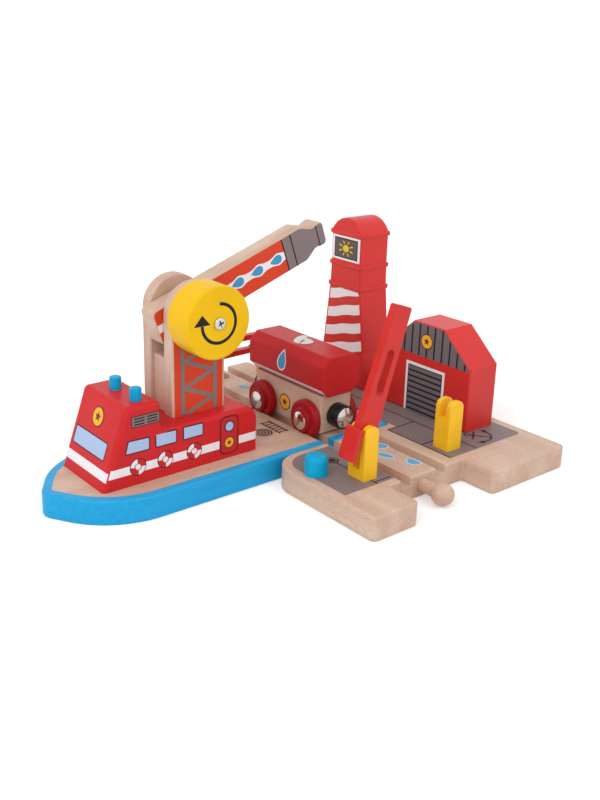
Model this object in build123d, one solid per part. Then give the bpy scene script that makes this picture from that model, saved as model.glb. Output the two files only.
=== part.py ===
from build123d import *
import math
import os

# A wooden fire station for a toy railway: a station board with a building and a
# lighthouse, a fire boat on a second board plugged into it, two level-crossing
# barriers and a tank wagon on the track that runs over both boards.
# Lengths are millimetres. X runs across the track, Y along it and Z up from the
# table; X and Y start where the track's centre line crosses the joint of the boards.

# Fits shared by all pieces
fixed_fit = 0.05
running_fit = 0.08
side_gap = 0.3
overrun = 1.0

# Boards
board_thickness = 13.2
board_edge = 1.2
board_corner = 3.0
board_gap = 0.2

# Track, cut alike into both boards
groove_offset = 13.0
groove_width = 7.2
groove_depth = 4.2

# Station board
station_left = -55.5
station_right = 91.7
station_front = -81.5
station_back = 97.0
track_end = -59.7
recess_left = -25.0
recess_right = 30.7
recess_corner = 1.0
quay_corner = 17.35

# Boat board
boat_right = 33.5
boat_back = 138.5
boat_beam = 69.4
boat_tip = -167.3
bow_radius = 8.0
bow_slope = 58
bow_shoulder = 46.0
ramp_left = -40.0
ramp_corner = 8.0

# Track pegs and the sockets that take them
peg_head_radius = 6.1
peg_head_height = 10.9
peg_head_round = 5.2
peg_neck_radius = 3.7
peg_tenon = 14.0
peg_reach = 20.3
socket_room = 0.6

# Countersunk screws that hold the blocks from below
screw_radius = 1.6
screw_head_radius = 3.4
screw_sink = 0.4
screw_length = 26.0
screw_slot_width = 0.9
screw_slot_depth = 0.8
screw_slot_span = 4.6

# Blocks on the station board
block_edge = 1.0
house_left = 58.4
house_width = 23.2
house_front = -36.9
house_back = 29.9
eaves_height = 38.0
roof_height = 56.6
roof_front = -15.8
roof_back = 8.9
house_screw_spacing = 40.0
light_centre = 70.5
light_base_half = 21.7
light_base_height = 13.1
light_step_half = 18.7
light_step_height = 23.8
light_top_half = 14.0
light_top_height = 65.6
lantern_half = 13.5
gallery_height = 79.4
lantern_height = 99.3
light_dome_rise = 8.1
light_ring_proud = 0.8
light_ring_height = 2.9
light_screw_spacing = 24.0

# Cabin block of the boat
cabin_near = 15.3
cabin_width = 43.4
cabin_bow = -145.3
screen_top = -131.0
roof_rake = 1.5
deck_gap = 11.4
cabin_stern = -51.2
cabin_height = 41.5
deck_height = 25.8
cabin_edge = 2.6
stern_round = 8.0
cabin_screw_bow = -126.0
cabin_screw_stern = -66.0

# Blue lights on the cabin roof
beacon_radius = 3.05
beacon_height = 6.7
beacon_depth = 6.0
beacon_inset = 9.5
beacon_middle = 33.3
beacon_spacing = 19.8
beacon_round = 1.0

# Tower of the water cannon
tower_middle = -82.4
tower_width = 32.8
tower_near = 25.5
cheek_thickness = 7.5
tower_gap = 12.6
arch_centre_height = 53.3
filler_height = 29.8
filler_inset = 2.0
dowel_radius = 2.5
dowel_length = 14.0
dowel_spacing = 16.0

# Water cannon and the shaft that turns it
cannon_pivot_height = 78.2
cannon_angle = 19.7
cannon_half = 10.0
cannon_tail = 20.4
cannon_shoulder = 79.5
nozzle_neck = 87.3
nozzle_neck_half = 5.7
nozzle_flare = 91.0
nozzle_half = 6.7
cannon_tip = 95.2
cannon_round = 3.0
nozzle_round = 1.6
tip_round = 2.4
cannon_edge = 0.8
shaft_radius = 4.0
shaft_blind = 5.5

# Knob and its screw
knob_radius = 19.0
knob_thickness = 18.0
knob_web = 6.0
knob_edge = 1.2
knob_screw_radius = 1.5
knob_screw_length = 20.0
knob_screw_head_radius = 3.2
knob_screw_head_height = 1.6
knob_screw_round = 0.7
cross_width = 0.9
cross_span = 3.8
cross_depth = 0.9

# Level-crossing barriers
post_edge = 1.0
pivot_x = -28.3
pivot_height = 24.4
pivot_post_width = 9.3
pivot_post_depth = 13.0
pivot_slot_floor = 5.6
front_barrier_y = -43.4
rear_barrier_y = 109.7
rest_post_width = 10.8
rest_post_depth = 11.4
rest_post_height = 28.2
rest_post_round = 4.4
front_rest_inset = 2.9
rear_rest_inset = 10.4
post_peg_radius = 3.2
post_peg_length = 8.0
arm_thickness = 4.4
arm_reach = 66.7
arm_root_half = 6.75
arm_tip_half = 5.65
arm_tip_round = 1.2
arm_slot_start = 19.5
arm_slot_end = 44.0
arm_slot_width = 5.5
arm_angle = 71.4
trunnion_radius = 2.0
trunnion_length = 2.4
lever_length = 15.3
lever_overlap = 2.0
lever_height = 5.3
lever_thickness = 3.4
lever_width = 10.0
lever_edge = 0.8

# Blue push button on the station board
button_x = -45.6
button_y = -27.2
button_radius = 6.1
button_height = 10.9
button_round = 3.0
button_flange_radius = 6.9
button_flange_height = 2.0
button_web = 3.2
button_bore_radius = 4.6
button_bore_depth = 13.0
retainer_thickness = 2.4
retainer_sink = 0.5
retainer_boss_radius = 2.6
retainer_boss_height = 1.8
spring_radius = 3.7
spring_wire_radius = 0.4
spring_turns = 6

# Tank wagon
wagon_middle = 39.8
wheel_base = 40.0
wheel_radius = 11.4
wheel_width = 6.2
wheel_tread = 4.4
wheel_edge = 0.6
wheel_shoulder = 1.6
wheel_clearance = 0.2
wheel_gap = 0.5
boss_radius = 7.0
boss_foot = 0.6
boss_edge = 0.9
axle_radius = 1.5
axle_overhang = 0.7
cap_radius = 5.2
cap_height = 1.9
cap_rim = 0.5
chassis_half = 11.3
chassis_length = 60.0
chassis_bottom = 14.3
chassis_top = 36.3
chassis_edge = 1.0
tank_length = 67.0
tank_half_width = 14.0
tank_height = 23.1
tank_chamfer = 5.0
tank_edge = 1.5
wagon_screw_length = 32.0
wagon_screw_spacing = 24.0
tack_radius = 6.0
tack_height = 3.0
tack_nail_radius = 1.0
tack_nail_length = 9.0
coupling_height = 23.8
housing_radius = 7.0
housing_length = 7.9
housing_stem_radius = 3.0
housing_stem_length = 7.0
housing_edge = 0.6
magnet_radius = 5.9
magnet_length = 6.0
magnet_proud = 0.3
magnet_dome = 1.2

# Places worked out from the sizes above
groove_floor = board_thickness - groove_depth
board_mid = board_thickness / 2
bow_apex = boat_tip + bow_radius - bow_radius / math.sin(math.radians(bow_slope))
bow_start = bow_apex + boat_beam / 2 / math.tan(math.radians(bow_slope))
peg_head_set = peg_reach - peg_head_radius
axle_z = groove_floor + wheel_clearance + wheel_radius
wheel_inner = chassis_half + wheel_gap
wheel_outer = wheel_inner + wheel_width
pivot_z = board_thickness + pivot_height
front_rest_x = pivot_x + arm_reach - front_rest_inset
rear_rest_x = pivot_x + arm_reach - rear_rest_inset
deck_z = board_thickness + deck_height
deck_start = tower_middle - tower_width / 2 - deck_gap
roof_end = deck_start - roof_rake
beacon_x = roof_end - beacon_inset
cannon_z = board_thickness + cannon_pivot_height
cannon_y = tower_near + cheek_thickness + tower_gap / 2
cannon_thickness = tower_gap - 2 * side_gap
tower_far = tower_near + 2 * cheek_thickness + tower_gap
knob_front = tower_near - side_gap - knob_thickness
shaft_start = knob_front + knob_web
shaft_end = tower_near + cheek_thickness + tower_gap + shaft_blind
arm_slot = arm_thickness + 2 * side_gap
house_middle = (house_front + house_back) / 2
cabin_middle = cabin_near + cabin_width / 2
row_origin_x = (boat_tip + station_right) / 2
row_origin_y = (station_front + boat_back) / 2


def prism(points, radii, start, end):
    """Upright prism with rounded corners over an outline in X and Y."""
    outline = make_face(FilletPolyline(*points, radius=radii, close=True))
    return extrude(Plane.XY.offset(start) * outline, amount=end - start)


def slab_along_y(face, near, far):
    """A face drawn in X and Z, made solid from near to far."""
    plane = Plane(origin=(0, far, 0), x_dir=(1, 0, 0), z_dir=(0, -1, 0))
    return extrude(plane * face, amount=far - near)


def slab_along_x(face, left, right):
    """A face drawn in Y and Z, made solid from left to right."""
    plane = Plane(origin=(left, 0, 0), x_dir=(0, 1, 0), z_dir=(1, 0, 0))
    return extrude(plane * face, amount=right - left)


def block(x_span, y_span, z_span):
    """Box between two limits along each axis."""
    spans = (x_span, y_span, z_span)
    size = [high - low for low, high in spans]
    centre = [(high + low) / 2 for low, high in spans]
    return Pos(*centre) * Box(*size)


def rod(radius, start, end):
    """Round rod between two points."""
    run = Vector(*end) - Vector(*start)
    plane = Plane(origin=start, z_dir=run)
    return extrude(plane * Circle(radius), amount=run.length)


def spun(points, origin, direction):
    """Profile of (radius, length) points turned about a line through the origin."""
    profile = Plane.XZ * make_face(Polyline(*points, close=True))
    turned = revolve(profile, Axis.Z)
    return Plane(origin=origin, z_dir=direction) * turned


def rim_edges(solid, axis):
    """Edges that lie flat at both ends of a solid along an axis."""
    rows = solid.edges().group_by(axis)
    return rows[0] + rows[-1]


def grooves(start, end):
    """The two wheel grooves of the track."""
    both = Part()
    for side in (-1, 1):
        middle = side * groove_offset
        span = (middle - groove_width / 2, middle + groove_width / 2)
        both += block(span, (start, end), (groove_floor, board_thickness + overrun))
    return both


def keyhole(mouth):
    """Cutter for a socket whose mouth opens towards +Y."""
    centre = mouth - peg_head_set
    slot = peg_neck_radius + socket_room
    low = -overrun
    high = board_thickness + overrun
    hole = rod(peg_head_radius + socket_room, (0, centre, low), (0, centre, high))
    return hole + block((-slot, slot), (centre, mouth + overrun), (low, high))


def track_peg(board_end):
    """Turned peg whose head stands off the end of a board."""
    head_y = board_end - peg_head_set
    low = board_mid - peg_head_height / 2
    high = board_mid + peg_head_height / 2
    head = rod(peg_head_radius, (0, head_y, low), (0, head_y, high))
    head = fillet(rim_edges(head, Axis.Z), peg_head_round)
    tail = (0, board_end + peg_tenon, board_mid)
    return head + rod(peg_neck_radius, (0, head_y, board_mid), tail)


def peg_hole(board_end):
    """Cutter for the blind hole that a track peg is glued into."""
    radius = peg_neck_radius + fixed_fit
    start = (0, board_end - overrun, board_mid)
    return rod(radius, start, (0, board_end + peg_tenon + fixed_fit, board_mid))


def screw_body(x, y, base, length, room):
    """Countersunk screw pointing up; with room it is the hole for one."""
    head = screw_head_radius + room
    shank = screw_radius + room
    neck = screw_head_radius - screw_radius
    tip = length - screw_radius + room
    points = [(0, 0), (head, 0), (shank, neck), (shank, tip), (0, length + room)]
    return spun(points, (x, y, base), (0, 0, 1))


def screw(x, y, base, length):
    """Countersunk wood screw with a cross recess."""
    body = screw_body(x, y, base, length, 0)
    half_width = screw_slot_width / 2
    half_span = screw_slot_span / 2
    depth = (base - overrun, base + screw_slot_depth)
    for wide, long in ((half_width, half_span), (half_span, half_width)):
        body -= block((x - wide, x + wide), (y - long, y + long), depth)
    return body


def screw_hole(x, y, base, length):
    """Cutter for a screw and the countersink below its head."""
    head = screw_head_radius + fixed_fit
    well = rod(head, (x, y, base - screw_sink - overrun), (x, y, base))
    return well + screw_body(x, y, base, length, fixed_fit)


def house_screws():
    """Places of the four screws under the station building and the lighthouse."""
    middle = house_left + house_width / 2
    places = []
    for centre, spacing in (
        (house_middle, house_screw_spacing),
        (light_centre, light_screw_spacing),
    ):
        for side in (-1, 1):
            places.append((middle, centre + side * spacing / 2))
    return places


def cabin_screws():
    """Places of the two screws under the cabin block."""
    return [(x, cabin_middle) for x in (cabin_screw_bow, cabin_screw_stern)]


def post_places():
    """Name, X and Y of each barrier post."""
    return [
        ("front_pivot_post", pivot_x, front_barrier_y),
        ("front_rest_post", front_rest_x, front_barrier_y),
        ("rear_pivot_post", pivot_x, rear_barrier_y),
        ("rear_rest_post", rear_rest_x, rear_barrier_y),
    ]


def post_hole(x, y):
    """Cutter for the hole that a post's peg is glued into."""
    depth = post_peg_length + fixed_fit
    low = board_thickness - depth
    radius = post_peg_radius + fixed_fit
    return rod(radius, (x, y, low), (x, y, board_thickness + overrun))


def station_board():
    """Beech board with the near half of the track, the quay and the street."""
    seam_x = boat_right + board_gap
    corners = [
        (station_left, station_front, board_corner),
        (recess_left, station_front, board_corner),
        (recess_left, track_end, recess_corner),
        (recess_right, track_end, recess_corner),
        (recess_right, station_front, board_corner),
        (station_right, station_front, board_corner),
        (station_right, station_back, board_corner),
        (seam_x, station_back, board_corner),
        (seam_x, -board_gap, board_corner + board_gap),
        (station_left, -board_gap, quay_corner),
    ]
    points = [(x, y) for x, y, radius in corners]
    radii = [radius for x, y, radius in corners]
    board = prism(points, radii, 0, board_thickness)
    board = fillet(rim_edges(board, Axis.Z), board_edge)
    board -= grooves(track_end - overrun, 0)
    board -= keyhole(0)
    board -= peg_hole(track_end)
    for x, y in house_screws():
        board -= screw_hole(x, y, screw_sink, screw_length)
    for name, x, y in post_places():
        if y < 0:
            board -= post_hole(x, y)
    return board - button_well()


def boat_board():
    """Beech board of the boat, with the far half of the track behind it."""
    corners = [
        (boat_right, 0, board_corner),
        (boat_right, boat_back, board_corner),
        (ramp_left, boat_back, board_corner),
        (ramp_left, boat_beam, ramp_corner),
        (bow_start, boat_beam, bow_shoulder),
        (bow_apex, boat_beam / 2, bow_radius),
        (bow_start, 0, bow_shoulder),
    ]
    points = [(x, y) for x, y, radius in corners]
    radii = [radius for x, y, radius in corners]
    board = prism(points, radii, 0, board_thickness)
    board = fillet(rim_edges(board, Axis.Z), board_edge)
    board -= grooves(-overrun, boat_back + overrun)
    board -= keyhole(boat_back)
    board -= peg_hole(0)
    for x, y in cabin_screws():
        board -= screw_hole(x, y, screw_sink, screw_length)
    for name, x, y in post_places():
        if y > 0:
            board -= post_hole(x, y)
    return board


def station_building():
    """Painted block with a broken-pitch roof."""
    low = board_thickness
    points = [
        (house_front, low),
        (house_back, low),
        (house_back, low + eaves_height),
        (roof_back, low + roof_height),
        (roof_front, low + roof_height),
        (house_front, low + eaves_height),
    ]
    face = make_face(Polyline(*points, close=True))
    body = slab_along_x(face, house_left, house_left + house_width)
    body = fillet(rim_edges(body, Axis.X), block_edge)
    for x, y in house_screws():
        if y < house_back:
            body -= screw_body(x, y, screw_sink, screw_length, fixed_fit)
    return body


def lighthouse():
    """Painted block with a wide foot, two rings, a lantern and a domed roof."""
    rows = [
        (light_base_half, 0),
        (light_base_half, light_base_height),
        (light_step_half, light_step_height),
        (light_top_half, light_top_height),
        (lantern_half, gallery_height),
        (lantern_half, lantern_height),
    ]
    low = board_thickness
    right = [(light_centre + half, low + height) for half, height in rows]
    left = [(light_centre - half, low + height) for half, height in reversed(rows)]
    top = (light_centre, low + lantern_height + light_dome_rise)
    outline = Polyline(*left, *right) + ThreePointArc(right[-1], top, left[0])
    face = make_face(outline)
    body = slab_along_x(face, house_left, house_left + house_width)
    body = fillet(rim_edges(body, Axis.X), block_edge)
    rings = [
        (light_top_half, light_top_height),
        (lantern_half, gallery_height),
        (lantern_half, lantern_height),
    ]
    for half, height in rings:
        reach = half + light_ring_proud
        y_span = (light_centre - reach, light_centre + reach)
        z_span = (low + height - light_ring_height, low + height)
        left = house_left - light_ring_proud
        right = house_left + house_width + light_ring_proud
        ring = block((left, right), y_span, z_span)
        body += fillet(ring.edges(), light_ring_proud)
    for x, y in house_screws():
        if y > house_back:
            body -= screw_body(x, y, screw_sink, screw_length, fixed_fit)
    return body


def cabin_block():
    """Painted block with the cabin's raked screen and the lower deck."""
    low = board_thickness
    roof = low + cabin_height
    corners = [
        (cabin_bow, low, 0),
        (cabin_stern, low, 0),
        (cabin_stern, deck_z, stern_round),
        (deck_start, deck_z, board_corner),
        (roof_end, roof, board_corner),
        (screen_top, roof, board_corner),
    ]
    points = [(x, z) for x, z, radius in corners]
    radii = [radius for x, z, radius in corners]
    face = make_face(FilletPolyline(*points, radius=radii, close=True))
    body = slab_along_y(face, cabin_near, cabin_near + cabin_width)
    body = fillet(rim_edges(body, Axis.Y).filter_by(
        lambda edge: edge.center().Z > low + block_edge), cabin_edge)
    for x, y in cabin_screws():
        body -= screw_body(x, y, screw_sink, screw_length, fixed_fit)
    for y in beacon_places():
        body -= rod(beacon_radius + fixed_fit, (beacon_x, y, roof - beacon_depth),
                    (beacon_x, y, roof + overrun))
    for x, y in dowel_places():
        body -= dowel(x, y, fixed_fit)
    return body


def beacon_places():
    """Y of the two blue lights."""
    return [beacon_middle + side * beacon_spacing / 2 for side in (-1, 1)]


def beacon(y):
    """Blue dowel standing in the cabin roof."""
    roof = board_thickness + cabin_height
    low = (beacon_x, y, roof - beacon_depth)
    body = rod(beacon_radius, low, (beacon_x, y, roof + beacon_height))
    top = body.edges().group_by(Axis.Z)[-1]
    return fillet(top, beacon_round)


def dowel_places():
    """X and Y of the dowels under the two cheeks and the filler."""
    layers = [
        tower_near + cheek_thickness / 2,
        cannon_y,
        tower_far - cheek_thickness / 2,
    ]
    sides = [tower_middle + side * dowel_spacing / 2 for side in (-1, 1)]
    return [(x, y) for y in layers for x in sides]


def dowel(x, y, room):
    """Dowel half in the lower deck and half in the tower; with room, its hole."""
    reach = dowel_length / 2 + room
    low = (x, y, deck_z - reach)
    return rod(dowel_radius + room, low, (x, y, deck_z + reach))


def tower_cheek(near):
    """One side of the tower, with a round top and a hole for the shaft."""
    middle = deck_z + arch_centre_height
    face = Pos(tower_middle, (deck_z + middle) / 2) * Rectangle(
        tower_width, arch_centre_height
    )
    face += Pos(tower_middle, middle) * Circle(tower_width / 2)
    body = slab_along_y(face, near, near + cheek_thickness)
    body = fillet(rim_edges(body, Axis.Y).filter_by(
        lambda edge: edge.center().Z > deck_z + block_edge), block_edge)
    for x, y in dowel_places():
        if near < y < near + cheek_thickness:
            body -= dowel(x, y, fixed_fit)
    start = (tower_middle, tower_near - overrun, cannon_z)
    end = (tower_middle, shaft_end + running_fit, cannon_z)
    return body - rod(shaft_radius + running_fit, start, end)


def tower_filler():
    """Block that spaces the cheeks below the water cannon."""
    near = tower_near + cheek_thickness
    half = tower_width / 2 - filler_inset
    x_span = (tower_middle - half, tower_middle + half)
    body = block(x_span, (near, near + tower_gap), (deck_z, deck_z + filler_height))
    for x, y in dowel_places():
        if near < y < near + tower_gap:
            body -= dowel(x, y, fixed_fit)
    return body


def cannon_placed(solid):
    """Tilts what is drawn along +X about the cannon's shaft to its rest angle."""
    return Pos(tower_middle, 0, cannon_z) * Rot(0, -cannon_angle, 0) * solid


def water_cannon():
    """Flat wooden cannon with a shaped nozzle, fast on the shaft."""
    rows = [
        (-cannon_tail, cannon_half, cannon_round),
        (cannon_shoulder, cannon_half, cannon_round),
        (nozzle_neck, nozzle_neck_half, nozzle_round),
        (nozzle_flare, nozzle_half, nozzle_round),
        (cannon_tip, nozzle_half, tip_round),
    ]
    lower = [(u, -half) for u, half, radius in rows]
    upper = [(u, half) for u, half, radius in reversed(rows)]
    radii = [radius for u, half, radius in rows]
    outline = FilletPolyline(
        *lower, *upper, radius=radii + radii[::-1], close=True
    )
    half_thickness = cannon_thickness / 2
    near = cannon_y - half_thickness
    body = slab_along_y(make_face(outline), near, cannon_y + half_thickness)
    body = fillet(rim_edges(body, Axis.Y), cannon_edge)
    hole = rod(shaft_radius + fixed_fit, (0, 0, 0), (0, tower_far, 0))
    return cannon_placed(body - hole)


def cannon_shaft():
    """Dowel that joins the knob to the cannon."""
    body = rod(shaft_radius, (0, shaft_start + fixed_fit, 0), (0, shaft_end, 0))
    pilot = knob_screw_radius + fixed_fit
    depth = knob_front + knob_screw_length + fixed_fit
    body -= rod(pilot, (0, shaft_start, 0), (0, depth, 0))
    return cannon_placed(body)


def knob():
    """Thick wooden disc that is turned by hand."""
    far = knob_front + knob_thickness
    body = rod(knob_radius, (0, knob_front, 0), (0, far, 0))
    body = fillet(rim_edges(body, Axis.Y), knob_edge)
    body -= rod(shaft_radius + fixed_fit, (0, shaft_start, 0), (0, far + overrun, 0))
    pilot = knob_screw_radius + fixed_fit
    body -= rod(pilot, (0, knob_front - overrun, 0), (0, far, 0))
    return cannon_placed(body)


def knob_screw():
    """Pan-head screw with a cross recess, through the knob into the shaft."""
    front = knob_front - knob_screw_head_height
    head = rod(knob_screw_head_radius, (0, front, 0), (0, knob_front, 0))
    head = fillet(head.edges().group_by(Axis.Y)[0], knob_screw_round)
    half_width = cross_width / 2
    half_span = cross_span / 2
    depth = (front - overrun, front + cross_depth)
    for wide, tall in ((half_width, half_span), (half_span, half_width)):
        head -= block((-wide, wide), depth, (-tall, tall))
    end = (0, knob_front + knob_screw_length, 0)
    return cannon_placed(head + rod(knob_screw_radius, (0, knob_front, 0), end))


def post_peg(x, y):
    """Peg moulded under a post."""
    low = (x, y, board_thickness - post_peg_length)
    return rod(post_peg_radius, low, (x, y, board_thickness))


def pivot_post(x, y):
    """Plastic fork that carries the arm's trunnions."""
    half = pivot_post_width / 2
    straight = pivot_z - board_thickness
    face = Pos(x, board_thickness + straight / 2) * Rectangle(2 * half, straight)
    face += Pos(x, pivot_z) * Circle(half)
    near = y - pivot_post_depth / 2
    far = y + pivot_post_depth / 2
    body = slab_along_y(face, near, far)
    body = fillet(rim_edges(body, Axis.Y).filter_by(
        lambda edge: edge.center().Z > board_thickness + post_edge), post_edge)
    slot_y = (y - arm_slot / 2, y + arm_slot / 2)
    slot_x = (x - half - overrun, x + half + overrun)
    slot_z = (board_thickness + pivot_slot_floor, pivot_z + half + overrun)
    body -= block(slot_x, slot_y, slot_z)
    reach = arm_thickness / 2 + trunnion_length + side_gap
    ends = [(x, y + side * reach, pivot_z) for side in (-1, 1)]
    body -= rod(trunnion_radius + running_fit, *ends)
    return body + post_peg(x, y)


def rest_post(x, y):
    """Plastic fork that the arm drops into."""
    half = rest_post_width / 2
    near = y - rest_post_depth / 2
    far = y + rest_post_depth / 2
    top = board_thickness + rest_post_height
    corners = [
        (x - half, board_thickness, 0),
        (x + half, board_thickness, 0),
        (x + half, top, rest_post_round),
        (x - half, top, rest_post_round),
    ]
    points = [(across, up) for across, up, radius in corners]
    radii = [radius for across, up, radius in corners]
    face = make_face(FilletPolyline(*points, radius=radii, close=True))
    body = slab_along_y(face, near, far)
    body = fillet(rim_edges(body, Axis.Y).filter_by(
        lambda edge: edge.center().Z > board_thickness + post_edge), post_edge)
    reach_share = (x - half - pivot_x) / arm_reach
    arm_half = arm_root_half + reach_share * (arm_tip_half - arm_root_half)
    slot_z = (pivot_z - arm_half - side_gap, top + overrun)
    slot_x = (x - half - overrun, x + half + overrun)
    slot_y = (y - arm_slot / 2, y + arm_slot / 2)
    body -= block(slot_x, slot_y, slot_z)
    return body + post_peg(x, y)


def barrier_arm(y, raised):
    """Plastic arm with a slot, a finger lever and two trunnions."""
    points = [
        (0, arm_root_half),
        (0, -arm_root_half),
        (arm_reach, -arm_tip_half),
        (arm_reach, arm_tip_half),
    ]
    radii = [0, 0, arm_tip_round, arm_tip_round]
    face = make_face(FilletPolyline(*points, radius=radii, close=True))
    face += Circle(arm_root_half)
    slot_middle = (arm_slot_start + arm_slot_end) / 2
    slot_length = arm_slot_end - arm_slot_start
    face -= Pos(slot_middle, 0) * SlotOverall(slot_length, arm_slot_width)
    half = arm_thickness / 2
    body = slab_along_y(face, y - half, y + half)
    lever_x = (-lever_length, lever_overlap)
    lever_y = (y - lever_width / 2, y + lever_width / 2)
    lever_z = (lever_height, lever_height + lever_thickness)
    lever = block(lever_x, lever_y, lever_z)
    body += fillet(lever.edges().filter_by(Axis.Y), lever_edge)
    reach = half + trunnion_length
    body += rod(trunnion_radius, (0, y - reach, 0), (0, y + reach, 0))
    return Pos(pivot_x, 0, pivot_z) * Rot(0, -raised, 0) * body


def button_well():
    """Cutter for the button's bore and the wider room below it."""
    top = board_thickness + overrun
    web = board_thickness - button_web
    bore = rod(button_radius + running_fit, (button_x, button_y, 0),
               (button_x, button_y, top))
    room = rod(button_flange_radius + running_fit, (button_x, button_y, -overrun),
               (button_x, button_y, web))
    return bore + room


def button_cap():
    """Blue button with a hidden flange that holds it in the board."""
    web = board_thickness - button_web - running_fit
    low = web - button_flange_height
    top = board_thickness + button_height
    stem = rod(button_radius, (button_x, button_y, low), (button_x, button_y, top))
    stem = fillet(stem.edges().group_by(Axis.Z)[-1], button_round)
    flange = rod(button_flange_radius, (button_x, button_y, low),
                 (button_x, button_y, web))
    bore = rod(button_bore_radius, (button_x, button_y, low - overrun),
               (button_x, button_y, low + button_bore_depth))
    return stem + flange - bore


def button_retainer():
    """Disc pressed in from below, with a boss that centres the spring."""
    low = retainer_sink
    high = low + retainer_thickness
    disc = rod(button_flange_radius + running_fit - fixed_fit,
               (button_x, button_y, low), (button_x, button_y, high))
    boss_top = high + retainer_boss_height
    return disc + rod(retainer_boss_radius, (button_x, button_y, high),
                      (button_x, button_y, boss_top))


def button_spring():
    """Coil spring between the retainer and the button."""
    low = retainer_sink + retainer_thickness + spring_wire_radius
    roof = board_thickness - button_web - running_fit - button_flange_height
    high = roof + button_bore_depth - spring_wire_radius
    pitch = (high - low) / spring_turns
    print("spring gap between turns", round(pitch - 2 * spring_wire_radius, 2))
    path = Helix(pitch, high - low, spring_radius)
    plane = Plane(origin=path @ 0, z_dir=path % 0)
    wire = sweep(plane * Circle(spring_wire_radius), path=path, is_frenet=True)
    return Pos(button_x, button_y, low) * wire


def axle_places():
    """Name and Y of each axle."""
    return [
        ("front", wagon_middle - wheel_base / 2),
        ("rear", wagon_middle + wheel_base / 2),
    ]


def wagon_screw_places():
    """Y of the two screws that hold the tank."""
    return [wagon_middle + side * wagon_screw_spacing / 2 for side in (-1, 1)]


def wagon_chassis():
    """Beech block that carries the axles, the couplings and the tank."""
    half_length = chassis_length / 2
    y_span = (wagon_middle - half_length, wagon_middle + half_length)
    x_span = (-chassis_half, chassis_half)
    body = block(x_span, y_span, (chassis_bottom, chassis_top))
    body = fillet(body.edges().filter_by(Axis.Z), chassis_edge)
    for name, y in axle_places():
        reach = chassis_half + overrun
        body -= rod(axle_radius + running_fit, (-reach, y, axle_z), (reach, y, axle_z))
    for y in wagon_screw_places():
        base = chassis_bottom + screw_sink
        body -= screw_hole(0, y, base, wagon_screw_length)
    for side in (-1, 1):
        end = wagon_middle + side * half_length
        start = (0, end + side * overrun, coupling_height)
        deep = housing_stem_length + fixed_fit
        body -= rod(housing_stem_radius + fixed_fit, start,
                    (0, end - side * deep, coupling_height))
    return body


def tank():
    """Painted tank with eight sides."""
    half = tank_half_width
    low = chassis_top
    top = chassis_top + tank_height
    corner = tank_chamfer
    points = [
        (-half + corner, low),
        (half - corner, low),
        (half, low + corner),
        (half, top - corner),
        (half - corner, top),
        (-half + corner, top),
        (-half, top - corner),
        (-half, low + corner),
    ]
    face = make_face(FilletPolyline(*points, radius=tank_edge, close=True))
    half_length = tank_length / 2
    body = slab_along_y(face, wagon_middle - half_length, wagon_middle + half_length)
    body = fillet(rim_edges(body, Axis.Y), tank_edge / 2)
    for y in wagon_screw_places():
        base = chassis_bottom + screw_sink
        body -= screw_body(0, y, base, wagon_screw_length, fixed_fit)
    nail = (0, wagon_middle, top - tack_nail_length - fixed_fit)
    body -= rod(tack_nail_radius + fixed_fit, nail, (0, wagon_middle, top + overrun))
    return body


def crown(radius, rim, top):
    """Arc of a shallow dome, from its rim to its middle, drawn as (radius, length)."""
    rise = top - rim
    sphere = (radius**2 + rise**2) / (2 * rise)
    half_angle = math.asin(radius / sphere) / 2
    middle = (sphere * math.sin(half_angle), top - sphere + sphere * math.cos(half_angle))
    return ThreePointArc((radius, rim), middle, (0, top))


def hatch_tack():
    """Domed tack that stands for the tank's hatch."""
    top = chassis_top + tank_height
    shank = Polyline(
        (0, tack_height), (0, -tack_nail_length), (tack_nail_radius, -tack_nail_length),
        (tack_nail_radius, 0), (tack_radius, 0),
    )
    profile = Plane.XZ * make_face(crown(tack_radius, 0, tack_height) + shank)
    return Pos(0, wagon_middle, top) * revolve(profile, Axis.Z)


def wheel(side, y):
    """Wooden wheel with a rounded shoulder and a boss that overhangs the board."""
    bore = axle_radius + fixed_fit
    corners = [
        (bore, 0, 0),
        (wheel_radius, 0, wheel_edge),
        (wheel_radius, wheel_tread, wheel_shoulder),
        (boss_radius, wheel_tread, boss_foot),
        (boss_radius, wheel_width, boss_edge),
        (bore, wheel_width, 0),
    ]
    points = [(out, along) for out, along, radius in corners]
    radii = [radius for out, along, radius in corners]
    profile = make_face(FilletPolyline(*points, radius=radii, close=True))
    turned = revolve(Plane.XZ * profile, Axis.Z)
    return Plane(origin=(side * wheel_inner, y, axle_z), z_dir=(side, 0, 0)) * turned


def axle(y):
    """Steel rod that both wheels are pressed on."""
    reach = wheel_outer + axle_overhang
    return rod(axle_radius, (-reach, y, axle_z), (reach, y, axle_z))


def hub_caps(y):
    """Chrome caps pressed on the two ends of an axle."""
    deep = axle_overhang + fixed_fit
    bore = axle_radius + fixed_fit
    under = Polyline(
        (0, cap_height), (0, deep), (bore, deep), (bore, 0), (cap_radius, 0),
        (cap_radius, cap_rim),
    )
    face = make_face(crown(cap_radius, cap_rim, cap_height) + under)
    turned = revolve(Plane.XZ * face, Axis.Z)
    caps = []
    for side in (-1, 1):
        plane = Plane(origin=(side * wheel_outer, y, axle_z), z_dir=(side, 0, 0))
        caps.append(plane * turned)
    return caps


def coupling_end(side):
    """Y of the chassis end that a coupling is pressed into."""
    return wagon_middle + side * chassis_length / 2


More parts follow.
